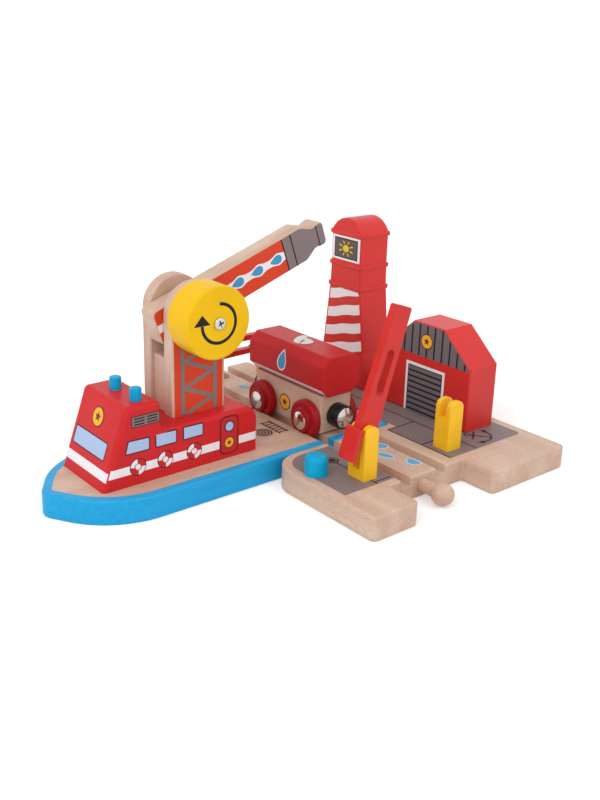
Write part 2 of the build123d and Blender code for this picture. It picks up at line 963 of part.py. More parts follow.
def coupling_housing(side):
    """Black plastic cup with a stem in the chassis."""
    end = coupling_end(side)
    mouth = end + side * housing_length
    centre = (0, end, coupling_height)
    cup = rod(housing_radius, centre, (0, mouth, coupling_height))
    cup = fillet(rim_edges(cup, Axis.Y), housing_edge)
    deep = magnet_length - magnet_proud + fixed_fit
    seat = (0, mouth - side * deep, coupling_height)
    cup -= rod(magnet_radius + fixed_fit, seat, (0, mouth + side * overrun, coupling_height))
    stem = (0, end - side * housing_stem_length, coupling_height)
    return cup + rod(housing_stem_radius, centre, stem)


def coupling_magnet(side):
    """Plated magnet with a domed face, a little proud of its cup."""
    back = coupling_end(side) + side * (housing_length + magnet_proud - magnet_length)
    top = magnet_length + magnet_dome
    sides = Polyline(
        (0, top), (0, 0), (magnet_radius, 0), (magnet_radius, magnet_length)
    )
    face = make_face(crown(magnet_radius, magnet_length, top) + sides)
    turned = revolve(Plane.XZ * face, Axis.Z)
    return Plane(origin=(0, back, coupling_height), z_dir=(0, side, 0)) * turned


def all_pieces():
    """Every node of the toy, by name."""
    pieces = {
        "station_board": station_board(),
        "station_peg": track_peg(track_end),
        "station_building": station_building(),
        "lighthouse": lighthouse(),
        "station_screws": Compound(
            [screw(x, y, screw_sink, screw_length) for x, y in house_screws()]
        ),
        "boat_board": boat_board(),
        "boat_peg": track_peg(0),
        "cabin_block": cabin_block(),
        "cabin_screws": Compound(
            [screw(x, y, screw_sink, screw_length) for x, y in cabin_screws()]
        ),
        "tower_front_cheek": tower_cheek(tower_near),
        "tower_filler": tower_filler(),
        "tower_rear_cheek": tower_cheek(tower_far - cheek_thickness),
        "tower_dowels": Compound([dowel(x, y, 0) for x, y in dowel_places()]),
        "water_cannon": water_cannon(),
        "cannon_shaft": cannon_shaft(),
        "knob": knob(),
        "knob_screw": knob_screw(),
        "front_barrier_arm": barrier_arm(front_barrier_y, arm_angle),
        "rear_barrier_arm": barrier_arm(rear_barrier_y, 0),
        "button_cap": button_cap(),
        "button_spring": button_spring(),
        "button_retainer": button_retainer(),
        "wagon_chassis": wagon_chassis(),
        "tank": tank(),
        "tank_screws": Compound(
            [
                screw(0, y, chassis_bottom + screw_sink, wagon_screw_length)
                for y in wagon_screw_places()
            ]
        ),
        "hatch_tack": hatch_tack(),
    }
    for number, y in enumerate(beacon_places(), start=1):
        pieces[f"beacon_{number}"] = beacon(y)
    for name, x, y in post_places():
        make_post = pivot_post if "pivot" in name else rest_post
        pieces[name] = make_post(x, y)
    for name, y in axle_places():
        pieces[f"{name}_axle"] = axle(y)
        pieces[f"{name}_hub_caps"] = Compound(hub_caps(y))
        pieces[f"{name}_left_wheel"] = wheel(-1, y)
        pieces[f"{name}_right_wheel"] = wheel(1, y)
    for name, side in (("front", -1), ("rear", 1)):
        pieces[f"{name}_coupling_housing"] = coupling_housing(side)
        pieces[f"{name}_coupling_magnet"] = coupling_magnet(side)
    return pieces


os.makedirs("parts", exist_ok=True)
for node, piece in all_pieces().items():
    placed = Pos(-row_origin_x, -row_origin_y, 0) * piece
    export_step(placed, f"parts/{node}.step")
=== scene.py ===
import math

import bmesh
import bpy
from mathutils import Matrix, Vector


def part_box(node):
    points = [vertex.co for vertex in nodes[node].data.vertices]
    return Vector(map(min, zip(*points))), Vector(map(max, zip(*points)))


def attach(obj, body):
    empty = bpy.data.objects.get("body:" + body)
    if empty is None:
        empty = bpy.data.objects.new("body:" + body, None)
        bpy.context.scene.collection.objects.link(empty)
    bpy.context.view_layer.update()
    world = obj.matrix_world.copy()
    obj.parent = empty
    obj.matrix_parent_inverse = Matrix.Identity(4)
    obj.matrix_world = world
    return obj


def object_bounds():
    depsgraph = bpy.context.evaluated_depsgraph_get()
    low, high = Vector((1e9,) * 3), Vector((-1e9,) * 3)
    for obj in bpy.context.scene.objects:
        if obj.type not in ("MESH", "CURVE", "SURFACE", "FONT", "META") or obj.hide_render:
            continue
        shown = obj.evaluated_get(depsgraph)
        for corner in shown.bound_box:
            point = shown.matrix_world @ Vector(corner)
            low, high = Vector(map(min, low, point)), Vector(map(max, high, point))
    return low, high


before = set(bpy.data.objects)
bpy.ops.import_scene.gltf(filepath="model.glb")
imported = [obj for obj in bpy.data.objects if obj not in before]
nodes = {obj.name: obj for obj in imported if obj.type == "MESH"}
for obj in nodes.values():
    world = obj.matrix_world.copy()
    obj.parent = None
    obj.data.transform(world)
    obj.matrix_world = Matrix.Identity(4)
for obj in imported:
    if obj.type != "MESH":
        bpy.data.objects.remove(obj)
cad_low, cad_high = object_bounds()

# The photographer's table: a wide pale sheet under a white sky, two large soft lamps,
# and a camera on a stand in front of the station's left corner, looking down at it.
# The sheet is lifted towards white for the camera alone, and wholly white far from the
# toy, so that it has no horizon and still takes the toy's shadow.
MM = 0.001


def linear(code):
    """Turns an sRGB hex colour into linear red, green, blue and alpha."""
    parts = [int(code[place:place + 2], 16) / 255 for place in (1, 3, 5)]
    turned = [p / 12.92 if p <= 0.04045 else ((p + 0.055) / 1.055) ** 2.4 for p in parts]
    return (*turned, 1.0)


def add(tree, kind, inputs=None, **settings):
    """Adds a shader node with its settings, and sets or links its inputs."""
    made = tree.nodes.new("ShaderNode" + kind)
    for name, value in settings.items():
        setattr(made, name, value)
    for name, value in (inputs or {}).items():
        if isinstance(value, bpy.types.NodeSocket):
            tree.links.new(value, made.inputs[name])
        else:
            made.inputs[name].default_value = value
    return made


def new_material(name):
    """An empty material and its node tree."""
    material = bpy.data.materials.new(name)
    material.use_nodes = True
    material.node_tree.nodes.clear()
    return material, material.node_tree


def finish_piece(bm, name, material, body):
    """Turns a bmesh in metres into an object that rides on a body."""
    mesh = bpy.data.meshes.new(name)
    bm.to_mesh(mesh)
    bm.free()
    mesh.materials.append(material)
    piece = bpy.data.objects.new(name, mesh)
    bpy.context.scene.collection.objects.link(piece)
    if body:
        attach(piece, body)
    return piece


sheet_radius = 4.0
fade_start = 0.3
fade_end = 0.8
sheet_lift = 0.16
sheet_paint, tree = new_material("pale_paper")
where = add(tree, "TexCoord").outputs["Object"]
distance = add(tree, "VectorMath", {0: where}, operation="LENGTH").outputs["Value"]
far_out = add(tree, "MapRange", {"Value": distance, "From Min": fade_start, "From Max": fade_end})
seen = add(tree, "LightPath").outputs["Is Camera Ray"]
shine = add(tree, "Math", {0: far_out.outputs["Result"], 1: seen}, operation="MULTIPLY")
paper = add(tree, "BsdfDiffuse", {"Color": linear("#F7F7F7"), "Roughness": 0.6})
lift = add(tree, "Math", {0: seen, 1: sheet_lift}, operation="MULTIPLY").outputs[0]
own_glow = add(tree, "Emission", {"Strength": lift}).outputs[0]
lifted = add(tree, "AddShader", {0: paper.outputs[0], 1: own_glow})
white = add(tree, "Emission", {"Color": (1, 1, 1, 1), "Strength": 1.0})
both = add(tree, "MixShader", {0: shine.outputs["Value"], 1: lifted.outputs[0], 2: white.outputs[0]})
add(tree, "OutputMaterial", {"Surface": both.outputs[0]})
bm = bmesh.new()
bmesh.ops.create_circle(bm, cap_ends=True, radius=sheet_radius, segments=96)
sheet = finish_piece(bm, "table_sheet", sheet_paint, None)

sky_light = 0.93
sky = bpy.data.worlds.new("white_studio")
sky.use_nodes = True
tree = sky.node_tree
tree.nodes.clear()
rays = add(tree, "LightPath").outputs
mirrored = add(tree, "Math", {0: rays["Is Glossy Ray"], 1: rays["Is Transmission Ray"]}, operation="MAXIMUM")
shown = add(tree, "Math", {0: mirrored.outputs[0], 1: rays["Is Camera Ray"]}, operation="MAXIMUM")
strength = add(tree, "MapRange", {"Value": shown.outputs[0], "To Min": sky_light, "To Max": 1.0})
glow = add(tree, "Background", {"Color": (1, 1, 1, 1), "Strength": strength.outputs["Result"]})
add(tree, "OutputWorld", {"Surface": glow.outputs[0]})
bpy.context.scene.world = sky

aim = (cad_low + cad_high) / 2
for name, place, size, watts in (
    ("key_lamp", (-0.95, -0.25, 0.85), 0.9, 3.9),
    ("fill_lamp", (0.3, -1.1, 0.8), 0.9, 1.9),
):
    lamp = bpy.data.lights.new(name, "AREA")
    lamp.shape = "DISK"
    lamp.size = size
    lamp.energy = watts
    holder = bpy.data.objects.new(name, lamp)
    holder.location = place
    holder.rotation_euler = (aim - Vector(place)).to_track_quat("-Z", "Y").to_euler()
    bpy.context.scene.collection.objects.link(holder)

camera_place = Vector((-0.308874, -0.398795, 0.227214))
camera_azimuth = -39.65
camera_elevation = 18.826
camera_roll = 1.552
camera = bpy.data.objects.new("camera", bpy.data.cameras.new("camera"))
camera.data.sensor_width = 36.0
camera.data.lens = 43.707
camera.data.shift_x = 0.00758
camera.data.shift_y = -0.0431
camera.data.clip_start = 0.01
camera.matrix_world = (
    Matrix.Translation(camera_place)
    @ Matrix.Rotation(math.radians(camera_azimuth), 4, "Z")
    @ Matrix.Rotation(math.radians(90 - camera_elevation), 4, "X")
    @ Matrix.Rotation(math.radians(camera_roll), 4, "Z")
)
bpy.context.scene.collection.objects.link(camera)
bpy.context.scene.camera = camera
bpy.context.scene.view_settings.view_transform = "Standard"

# Station board: sawn and sanded beech under a thin clear varnish, with the track's
# grooves routed in and the paving printed on. Beech is pale and pinkish, with long
# faint streaks and short darker flecks along its grain.
RIGHT = Vector((1, 0, 0))
AWAY = Vector((0, 1, 0))
UP = Vector((0, 0, 1))
grain_length = 34.0
grain_width = 1.5
tone_length = 120.0
tone_width = 14.0
fleck_length = 3.4
fleck_width = 0.45
tone_cut = (0.35, 0.65)
streak_cut = (0.5, 0.72)
streak_share = 0.55
fleck_cut = (0.6, 0.68)
fleck_share = 0.4
speckles_per_mm = 1.4
speckle_cut = (0.5, 0.75)
speckle_share = 0.35
wear_share = 0.3
arc_step = 7.5
drape_steps = 6
drape_reach = 0.98
print_height = 0.05
print_root = 0.03


def stretched_noise(tree, along, length, width, detail=3.0):
    """Noise drawn out along one axis, for grain of a real length and width."""
    where = add(tree, "TexCoord").outputs["Object"]
    scale = [1 / (width * MM)] * 3
    scale["XYZ".index(along)] = 1 / (length * MM)
    moved = add(tree, "Mapping", {"Vector": where, "Scale": scale})
    noise = add(tree, "TexNoise", {"Vector": moved.outputs[0], "Scale": 1.0, "Detail": detail})
    return noise.outputs["Fac"]


def mixed(tree, share, first, second):
    """Mixes two colours by a share, and returns the mixed colour's socket."""
    made = add(tree, "Mix", {0: share, 6: first, 7: second}, data_type="RGBA")
    return made.outputs[2]


def ranged(tree, value, low, high, to_low=0.0, to_high=1.0):
    """Spreads a stretch of a value over another stretch, and clamps it there."""
    sockets = {"Value": value, "From Min": low, "From Max": high, "To Min": to_low, "To Max": to_high}
    return add(tree, "MapRange", sockets).outputs["Result"]


def beech_grain(tree, along, light="#D3B9A6", dark="#C3A08A", fleck="#9E725A"):
    """Colour and relief of beech whose grain runs along one axis."""
    tone = stretched_noise(tree, along, tone_length, tone_width)
    streak = stretched_noise(tree, along, grain_length, grain_width)
    spots = stretched_noise(tree, along, fleck_length, fleck_width, 1.0)
    broad = mixed(tree, ranged(tree, tone, *tone_cut), linear(light), linear(dark))
    fine = mixed(tree, ranged(tree, streak, *streak_cut, 0.0, streak_share), broad, linear(dark))
    flecked = mixed(tree, ranged(tree, spots, *fleck_cut, 0.0, fleck_share), fine, linear(fleck))
    return flecked, streak


def wood_shader(tree, colour, relief, roughness, depth, sheen=0.25):
    """Varnished or painted wood, with the grain standing in its surface."""
    bump = add(tree, "Bump", {"Height": relief, "Distance": depth * MM, "Strength": 0.5})
    shader = add(tree, "BsdfPrincipled", {
        "Base Color": colour, "Normal": bump.outputs[0], "Roughness": roughness, "Specular IOR Level": sheen,
    })
    add(tree, "OutputMaterial", {"Surface": shader.outputs[0]})


def beech(name, along):
    """Sanded beech under clear varnish."""
    material, tree = new_material(name)
    colour, relief = beech_grain(tree, along)
    wood_shader(tree, colour, relief, roughness=0.48, depth=0.08, sheen=0.5)
    return material


def dress(material, *names):
    """Gives CAD nodes a material."""
    for name in names:
        nodes[name].data.materials.clear()
        nodes[name].data.materials.append(material)


def ink(name, code, grain="Y"):
    """Screen-printed ink on wood: matt, a little uneven, with the grain showing through."""
    material, tree = new_material(name)
    where = add(tree, "TexCoord").outputs["Object"]
    speckle = add(tree, "TexNoise", {"Vector": where, "Scale": speckles_per_mm / MM})
    streak = stretched_noise(tree, grain, grain_length, grain_width)
    worn = [min(1.0, part * 0.82 + 0.02) for part in linear(code)[:3]]
    share = ranged(tree, speckle.outputs["Fac"], *speckle_cut, 0.0, speckle_share)
    first = mixed(tree, share, linear(code), (*worn, 1.0))
    second = mixed(tree, ranged(tree, streak, *speckle_cut, 0.0, wear_share), first, (*worn, 1.0))
    wood_shader(tree, second, streak, roughness=0.5, depth=0.03)
    return material


def outline(bm, points, rounding=0.0, rounded=None):
    """Flat shape through corner points, with all or the named corners rounded."""
    corners = [bm.verts.new((u, v, 0)) for u, v in points]
    bm.faces.new(corners)
    if rounding:
        bmesh.ops.bevel(
            bm, geom=[corners[place] for place in rounded or range(len(corners))], offset=rounding,
            offset_type="OFFSET", segments=8, profile=0.5, affect="VERTICES", material=-1, clamp_overlap=True,
        )


def bar(bm, left, low, right, high, rounding=0.0):
    """Flat upright rectangle between two corners."""
    outline(bm, [(left, low), (right, low), (right, high), (left, high)], rounding)


def stroke(bm, start, end, width):
    """Flat straight line of a width between two points."""
    run = Vector(end) - Vector(start)
    side = Vector((-run.y, run.x)).normalized() * width / 2
    first, last = Vector(start), Vector(end)
    outline(bm, [first - side, last - side, last + side, first + side])


def disc(bm, u, v, radius, wide=1.0):
    """Flat round or oval shape."""
    place = Matrix.Translation((u, v, 0)) @ Matrix.Scale(wide, 4, RIGHT)
    bmesh.ops.create_circle(bm, cap_ends=True, radius=radius, segments=48, matrix=place)


def arc(bm, u, v, radius, width, start, turn):
    """Flat band round a centre, from a start angle through a turn, in degrees."""
    inner = bm.verts.new((u + radius - width / 2, v, 0))
    outer = bm.verts.new((u + radius + width / 2, v, 0))
    edge = bm.edges.new((inner, outer))
    centre = Vector((u, v, 0))
    bmesh.ops.rotate(
        bm, verts=[inner, outer], cent=centre, matrix=Matrix.Rotation(math.radians(start), 3, "Z")
    )
    full = abs(turn) >= 360
    bmesh.ops.spin(
        bm, geom=[inner, outer, edge], cent=centre, axis=UP, angle=math.radians(turn),
        steps=max(6, int(abs(turn) / arc_step)), use_merge=full,
    )


def blob(bm, u, v, half_long, half_wide, turn, bend):
    """Flat bean: an oval that bends as a bow, for a splash of water."""
    made = bmesh.ops.create_circle(bm, cap_ends=True, radius=1.0, segments=40)["verts"]
    for corner in made:
        across = corner.co.x
        corner.co = Vector((across * half_long, corner.co.y * half_wide + bend * across**2, 0))
    bmesh.ops.transform(
        bm, verts=made,
        matrix=Matrix.Translation((u, v, 0)) @ Matrix.Rotation(math.radians(turn), 4, "Z"),
    )


def drape(bm, start, outward, radius):
    """Bends a flat drawing down over a rounded edge that begins at a line."""
    start = Vector((*start, 0))
    outward = Vector((*outward, 0)).normalized()
    for step in range(drape_steps - 1):
        bmesh.ops.bisect_plane(
            bm, geom=bm.verts[:] + bm.edges[:] + bm.faces[:], plane_no=outward,
            plane_co=start + outward * radius * step / drape_steps,
        )
    for corner in bm.verts:
        over = min(max((corner.co - start).dot(outward), 0), radius * drape_reach)
        corner.co.z -= radius - math.sqrt(radius**2 - over**2)


def face_at(origin, right, up):
    """Matrix that lays a drawing in millimetres on a face, seen from outside."""
    turned = Matrix((right, up, right.cross(up))).transposed().to_4x4()
    return Matrix.Translation(origin) @ turned @ Matrix.Scale(MM, 4)


def printed(bm, name, place, material, layer=1, body="root"):
    """Gives a flat drawing the thickness of its layers of ink and lays it on a face."""
    grown = bmesh.ops.extrude_face_region(bm, geom=bm.faces[:])["geom"]
    tops = [part for part in grown if isinstance(part, bmesh.types.BMVert)]
    bmesh.ops.translate(bm, verts=tops, vec=(0, 0, print_root + layer * print_height))
    bmesh.ops.translate(bm, verts=bm.verts, vec=(0, 0, -print_root))
    bmesh.ops.recalc_face_normals(bm, faces=bm.faces)
    bm.transform(place)
    return finish_piece(bm, name, material, body)


board_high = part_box("station_board")[1]
peg_low, peg_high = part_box("station_peg")
hull_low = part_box("boat_board")[0]
track_x = (peg_low.x + peg_high.x) / 2
joint_y = hull_low.y
board_top = face_at(Vector((track_x, joint_y, board_high.z)), RIGHT, AWAY)

beech_along_track = beech("beech_along_track", "Y")
dress(beech_along_track, "station_board")
grey_ink = ink("grey_screen_ink", "#827473")
black_ink = ink("black_screen_ink", "#1B171A")
puddle_ink = ink("pale_blue_screen_ink", "#58ABD6")
spray_ink = ink("spray_white_screen_ink", "#C3D3DC")
brown_ink = ink("dark_brown_screen_ink", "#4A2629")

quay_left = -50.4
quay_front = -55.0
quay_back = -4.6
quay_round = 14.0
groove_edge = 16.7
groove_near = 9.3
street_left = 26.0
street_step = 33.4
street_right = 85.3
street_front = -55.3
street_turn = -6.8
street_back = 92.0
street_round = 3.0
slab_line = 0.8
bm = bmesh.new()
quay = [bm.verts.new((u, v, 0)) for u, v in (
    (quay_left, quay_front), (-groove_edge, quay_front), (-groove_edge, quay_back), (quay_left, quay_back),
)]
bm.faces.new(quay)
bmesh.ops.bevel(
    bm, geom=quay[3:], offset=quay_round, offset_type="OFFSET", segments=12, profile=0.5,
    affect="VERTICES", material=-1,
)
printed(bm, "quay_paving", board_top, grey_ink)
bm = bmesh.new()
outline(bm, [
    (street_left, street_front), (street_right, street_front), (street_right, street_back),
    (street_step, street_back), (street_step, street_turn), (street_left, street_turn),
], street_round, rounded=(1,))
printed(bm, "street_paving", board_top, grey_ink)

quay_seam = -28.3
quay_seam_end = -22.0
quay_cross = -52.6
street_seam = 47.6
street_crosses = (-33.3, street_turn, 28.0, 60.0)
bm = bmesh.new()
bar(bm, quay_seam - slab_line / 2, quay_front, quay_seam + slab_line / 2, quay_seam_end)
bar(bm, quay_seam, quay_cross - slab_line / 2, -groove_edge, quay_cross + slab_line / 2)
bar(bm, street_seam - slab_line / 2, street_front, street_seam + slab_line / 2, street_back)
for cross in street_crosses:
    left = street_left if cross <= street_turn else street_step
    bar(bm, left, cross - slab_line / 2, street_seam, cross + slab_line / 2)
bar(bm, street_left - slab_line / 2, street_front, street_left + slab_line / 2, street_turn)
printed(bm, "paving_seams", board_top, black_ink, 2)

mooring_place = -20.0
mooring_shade = 3.7
mooring_ring = 2.4
mooring_line = 0.7
bm = bmesh.new()
disc(bm, quay_seam, mooring_place, mooring_shade)
printed(bm, "mooring_ring_shade", board_top, black_ink, 2)
bm = bmesh.new()
arc(bm, quay_seam, mooring_place, mooring_ring, mooring_line, 0, 360)
printed(bm, "mooring_ring", board_top, grey_ink, 3)

anchor_middle = (62.0, -44.2, 0)
anchor_turn = -52
anchor_line = 1.1
anchor_shank = (-5.4, 6.6)
anchor_stock = -3.4
stock_half = 5.8
anchor_eye = -6.6
eye_radius = 1.7
eye_line = 0.8
arm_centre = -1.9
arm_radius = 8.8
arm_line = 1.3
arm_spread = 70
fluke = [(-0.6, 9.6), (3.0, 6.2), (3.8, 9.6)]
turned = Matrix.Rotation(math.radians(anchor_turn), 4, "Z")
anchor_place = board_top @ Matrix.Translation(anchor_middle) @ turned
bm = bmesh.new()
stroke(bm, (anchor_shank[0], 0), (anchor_shank[1], 0), anchor_line)
stroke(bm, (anchor_stock, -stock_half), (anchor_stock, stock_half), anchor_line)
arc(bm, anchor_eye, 0, eye_radius, eye_line, 0, 360)
arc(bm, arm_centre, 0, arm_radius, arm_line, -arm_spread, 2 * arm_spread)
for side in (-1, 1):
    outline(bm, [(u, side * v) for u, v in fluke])
printed(bm, "anchor_print", anchor_place, brown_ink, 2)

# Each splash has its centre, half its length and width, its turn in degrees and its bend.
near_splashes = [
    (5.6, -20.5, 4.9, 3.0, -58, 0.6), (-0.6, -31.5, 5.3, 2.0, -66, -1.0), (5.4, -46.8, 4.0, 2.6, -84, 1.2),
]
spray_rim = 0.9
for name, material, rim, layer in (
    ("splash_spray", spray_ink, spray_rim, 1), ("water_splashes", puddle_ink, 0, 2),
):
    bm = bmesh.new()
    for u, v, half_long, half_wide, turn, bend in near_splashes:
        blob(bm, u, v, half_long + rim, half_wide + rim, turn, bend)
    printed(bm, name, board_top, material, layer)

# Track pegs: beech turned on a lathe, glued into the ends of both boards. A turned
# peg shows its grain along its axis.
dress(beech_along_track, "station_peg", "boat_peg")

# Boat board: beech whose sides and top rim are sprayed blue where the boat is, and
# left natural where the track runs on. The rim is masked, so its edge is crisp.
paint_reach = 4.8
track_side = -38.0
boat_beam = 69.4
flat_share = 0.99
paint_cut = (0.4, 0.7)
hull_paint, tree = new_material("beech_with_blue_lacquer")
colour, relief = beech_grain(tree, "X")
facing = add(tree, "SeparateXYZ", {0: add(tree, "NewGeometry").outputs["True Normal"]})
place = add(tree, "SeparateXYZ", {0: add(tree, "TexCoord").outputs["Object"]})
steep = add(tree, "Math", {0: facing.outputs["Z"], 1: flat_share}, operation="LESS_THAN").outputs[0]
near = add(tree, "Math", {0: place.outputs["Y"], 1: joint_y + paint_reach * MM}, operation="LESS_THAN")
boat_side = add(tree, "Math", {0: place.outputs["X"], 1: track_x + track_side * MM}, operation="LESS_THAN")
painted_side = add(tree, "Math", {0: near.outputs[0], 1: boat_side.outputs[0]}, operation="MAXIMUM")
mask = add(tree, "Math", {0: steep, 1: painted_side.outputs[0]}, operation="MULTIPLY").outputs[0]
blue = mixed(tree, ranged(tree, relief, *paint_cut), linear("#1BA4DA"), linear("#1599CE"))
wood_shader(tree, mixed(tree, mask, colour, blue), relief, roughness=0.42, depth=0.06)
dress(hull_paint, "boat_board")


def blue_lacquer(name, code, dark):
    """Sprayed blue lacquer over beech, with the grain just showing in its gloss."""
    material, tree = new_material(name)
    relief = stretched_noise(tree, "X", grain_length, grain_width)
    colour = mixed(tree, ranged(tree, relief, *paint_cut), linear(code), linear(dark))
    wood_shader(tree, colour, relief, roughness=0.36, depth=0.05)
    return material


rim_blue = blue_lacquer("blue_lacquer_rim", "#1BA4DA", "#1599CE")
bow_radius = 8.0
shoulder_radius = 46.0
turn_step = 4
bow_slope = math.radians(58)
rim_start = 0.85
boat_right = 33.5
boat_tip = (hull_low.x - track_x) / MM
bow_apex = boat_tip + bow_radius - bow_radius / math.sin(bow_slope)
bow_start = bow_apex + boat_beam / 2 / math.tan(bow_slope)
shoulder_run = shoulder_radius * math.tan(bow_slope / 2)
apex_run = bow_radius * math.tan(math.radians(90) - bow_slope)
slope_run = boat_beam / 2 / math.sin(bow_slope) - shoulder_run - apex_run


def follow(bm, edge, heading, moves):
    """Draws a band by moving its end edge along runs and round right-hand turns."""
    for kind, amount, radius in moves:
        ends = list(edge.verts)
        if kind == "run":
            grown = bmesh.ops.extrude_edge_only(bm, edges=[edge])["geom"]
            ends = [part for part in grown if isinstance(part, bmesh.types.BMVert)]
            bmesh.ops.translate(bm, verts=ends, vec=heading * amount)
            edges = [part for part in grown if isinstance(part, bmesh.types.BMEdge)]
            edge = [part for part in edges if set(part.verts) == set(ends)][0]
        else:
            inward = heading.cross(UP)
            outer = min(ends, key=lambda corner: corner.co.dot(inward))
            centre = outer.co + inward * (radius - rim_start)
            steps = max(4, round(math.degrees(amount) / turn_step))
            grown = bmesh.ops.spin(
                bm, geom=[*ends, edge], cent=centre, axis=UP, angle=-amount, steps=steps,
            )["geom_last"]
            edge = [part for part in grown if isinstance(part, bmesh.types.BMEdge)][0]
            heading = Matrix.Rotation(-amount, 3, "Z") @ heading
    return edge


bm = bmesh.new()
bar(bm, groove_edge, rim_start, boat_right - rim_start, paint_reach)
bar(bm, -groove_near, rim_start, groove_near, paint_reach)
rim = bm.edges.new([bm.verts.new((-groove_edge, v, 0)) for v in (rim_start, paint_reach)])
follow(bm, rim, Vector((-1, 0, 0)), [
    ("run", -groove_edge - bow_start - shoulder_run, 0),
    ("turn", bow_slope, shoulder_radius),
    ("run", slope_run, 0),
    ("turn", math.pi - 2 * bow_slope, bow_radius),
    ("run", slope_run, 0),
    ("turn", bow_slope, shoulder_radius),
    ("run", track_side - bow_start - shoulder_run, 0),
])
printed(bm, "boat_rim", board_top, rim_blue)

ramp_left = -36.0
ramp_line = -17.5
ramp_near = 64.0
ramp_far = 134.0
ramp_seam = 86.0
far_splashes = [(0.5, 98.0, 3.8, 2.4, -70, 0.8), (-2.0, 122.0, 4.4, 2.0, -80, -0.8)]
bm = bmesh.new()
bar(bm, ramp_left, ramp_near, ramp_line, ramp_far)
printed(bm, "ramp_paving", board_top, grey_ink)
bm = bmesh.new()
bar(bm, ramp_line - slab_line / 2, ramp_near, ramp_line + slab_line / 2, ramp_far)
bar(bm, ramp_left, ramp_seam, ramp_line, ramp_seam + slab_line)
printed(bm, "ramp_seams", board_top, black_ink, 2)
bm = bmesh.new()
for splash in far_splashes:
    blob(bm, *splash)
printed(bm, "far_splashes", board_top, puddle_ink)

hose_u = -34.6
hose_v = 31.8
ladder_rails = (-27.4, -21.8)
ladder_span = (25.4, 43.8)
hose_turns = (1.2, 3.0, 4.8)
hose_line = 1.1
rung_line = 1.0
rung_first = 1.6
rung_pitch = 3.1
bm = bmesh.new()
for radius in hose_turns:
    arc(bm, hose_u, hose_v, radius, hose_line, 0, 360)
printed(bm, "hose_print", board_top, brown_ink)
bm = bmesh.new()
for u in ladder_rails:
    stroke(bm, (u, ladder_span[0]), (u, ladder_span[1]), hose_line)
printed(bm, "ladder_rails_print", board_top, brown_ink, 2)
bm = bmesh.new()
for step in range(6):
    v = ladder_span[0] + rung_first + rung_pitch * step
    stroke(bm, (ladder_rails[0], v), (ladder_rails[1], v), rung_line)
printed(bm, "ladder_rungs_print", board_top, brown_ink)

# Station building: a beech block sawn with a broken-pitch roof, sprayed red, with its
# front printed. The lacquer is semi-gloss and fills most of the grain.
spray_width = 0.5
cloud_length = 60.0
cloud_width = 40.0


def lacquer(name, code, dark, along="Z", roughness=0.33, sheen=0.25):
    """Sprayed lacquer on wood: even colour, fine orange peel, grain faint in the gloss."""
    material, tree = new_material(name)
    relief = stretched_noise(tree, along, grain_length, grain_width)
    cloud = stretched_noise(tree, along, cloud_length, cloud_width, 2.0)
    where = add(tree, "TexCoord").outputs["Object"]
    peel = add(tree, "TexNoise", {"Vector": where, "Scale": 1 / (spray_width * MM), "Detail": 1.0})
    height = add(tree, "Math", {0: relief, 1: peel.outputs["Fac"]}, operation="ADD").outputs[0]
    colour = mixed(tree, ranged(tree, cloud, *tone_cut), linear(code), linear(dark))
    wood_shader(tree, colour, height, roughness, depth=0.02, sheen=sheen)
    return material


red_lacquer = lacquer("red_lacquer", "#D5332F", "#CB302C")
dress(red_lacquer, "station_building")
white_ink = ink("white_screen_ink", "#EFEAEE", "Z")
slate_ink = ink("slate_screen_ink", "#6F686D", "Z")
badge_ink = ink("yellow_screen_ink", "#EDB22C", "Z")
badge_line = ink("dark_red_screen_ink", "#7B1B1C", "Z")
badge_field = 0.86
badge_star = 0.5


def star(bm, u, v, radius, points=5, waist=0.45):
    """Flat star."""
    corners = []
    for step in range(2 * points):
        reach = radius if step % 2 == 0 else radius * waist
        angle = math.pi / 2 + step * math.pi / points
        corners.append((u + reach * math.cos(angle), v + reach * math.sin(angle)))
    outline(bm, corners)


def badge(name, place, u, v, radius, body="root"):
    """A plain round yellow badge with a dark rim and a star."""
    bm = bmesh.new()
    disc(bm, u, v, radius)
    printed(bm, name + "_rim", place, badge_line, 2, body)
    bm = bmesh.new()
    disc(bm, u, v, radius * badge_field)
    printed(bm, name + "_field", place, badge_ink, 3, body)
    bm = bmesh.new()
    star(bm, u, v, radius * badge_star)
    printed(bm, name + "_star", place, badge_line, 4, body)


house_low, house_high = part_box("station_building")
house_y = (house_low.y + house_high.y) / 2
house_front = face_at(Vector((house_low.x, house_y, house_low.z)), -AWAY, UP)
house_half = (house_high.y - house_low.y) / 2 / MM
door_left = -16.2
door_right = 14.6
door_top = 31.2
door_frame = 1.8
slat_pitch = 3.45
slat_line = 1.2
gable_low = 36.4
gable_pitch = 5.95
gable_line = 1.1
eaves = 38.0
ridge = 56.6
ridge_left = -12.4
ridge_right = 12.3
margin = 1.3
ridge_margin = 0.6
gable_shift = -0.8
bm = bmesh.new()
bar(bm, door_left, 0.2, door_right, door_top)
printed(bm, "door_frame_print", house_front, white_ink, 1)
bm = bmesh.new()
bar(bm, door_left + door_frame, 0.2, door_right - door_frame, door_top - door_frame)
printed(bm, "roller_door_lines", house_front, black_ink, 2)
bm = bmesh.new()
slat_top = door_top - door_frame - slat_line / 2
while slat_top > slat_line:
    bar(
        bm, door_left + door_frame + slat_line / 2, max(0.3, slat_top - slat_pitch + slat_line),
        door_right - door_frame - slat_line / 2, slat_top,
    )
    slat_top -= slat_pitch
printed(bm, "roller_door_slats", house_front, slate_ink, 3)
bm = bmesh.new()
outline(bm, [
    (margin - house_half, gable_low), (house_half - margin, gable_low), (house_half - margin, eaves),
    (ridge_right - margin / 2, ridge - ridge_margin), (ridge_left + margin / 2, ridge - ridge_margin),
    (margin - house_half, eaves),
])
